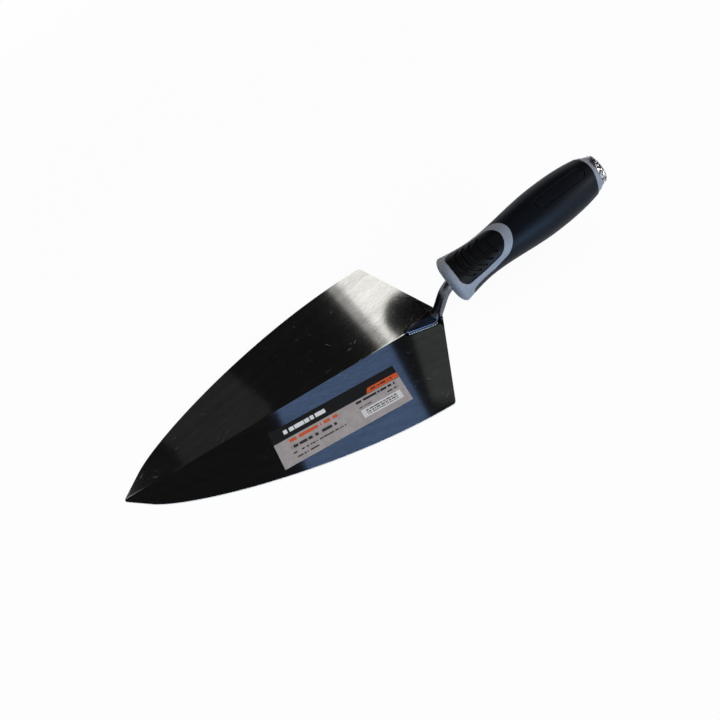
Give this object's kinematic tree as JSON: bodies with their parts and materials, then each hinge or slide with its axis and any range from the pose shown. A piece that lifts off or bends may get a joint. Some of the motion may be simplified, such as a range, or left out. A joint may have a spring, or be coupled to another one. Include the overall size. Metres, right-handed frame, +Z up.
{
  "type": "brick trowel",
  "caption": "Brick trowel: a pointed steel blade folded along its middle, on a cranked welded shank, with a soft two-tone handle and a steel striking cap.",
  "frame": {"origin": "centre of the trowel's overall length and width, at the level of the blade's crease underneath", "axes": "+X from the blade's point towards the handle, +Z up from the blade towards the handle, the middle plane is y = 0"},
  "size_m": [0.411, 0.14, 0.0817],
  "materials": {
    "blade_steel": "ground and brushed carbon steel, dark, with lengthwise grinding lines",
    "forged_steel": "forged and lacquered steel, dark blue-grey, half gloss",
    "weld_metal": "rippled weld bead",
    "grey_plastic": "satin moulded plastic, mid grey",
    "black_rubber": "soft moulded rubber, black, fine matt texture",
    "pad_rubber": "soft moulded rubber, black, with curved ribs",
    "cap_chrome": "bright plated steel",
    "zinc_steel": "zinc plated",
    "label_vinyl": "printed self-adhesive film, black, orange and pale grey, with plain bars for print"
  },
  "bodies": {
    "root": {"blade": "blade_steel", "shank": "forged_steel", "weld_left": "weld_metal", "weld_right": "weld_metal", "handle_core": "grey_plastic", "grip_sleeve": "black_rubber", "thumb_pad": "pad_rubber", "butt_cap": "cap_chrome", "tang_washer": "zinc_steel", "tang_nut": "zinc_steel", "blade_label": "label_vinyl"}
  },
  "joints": []
}
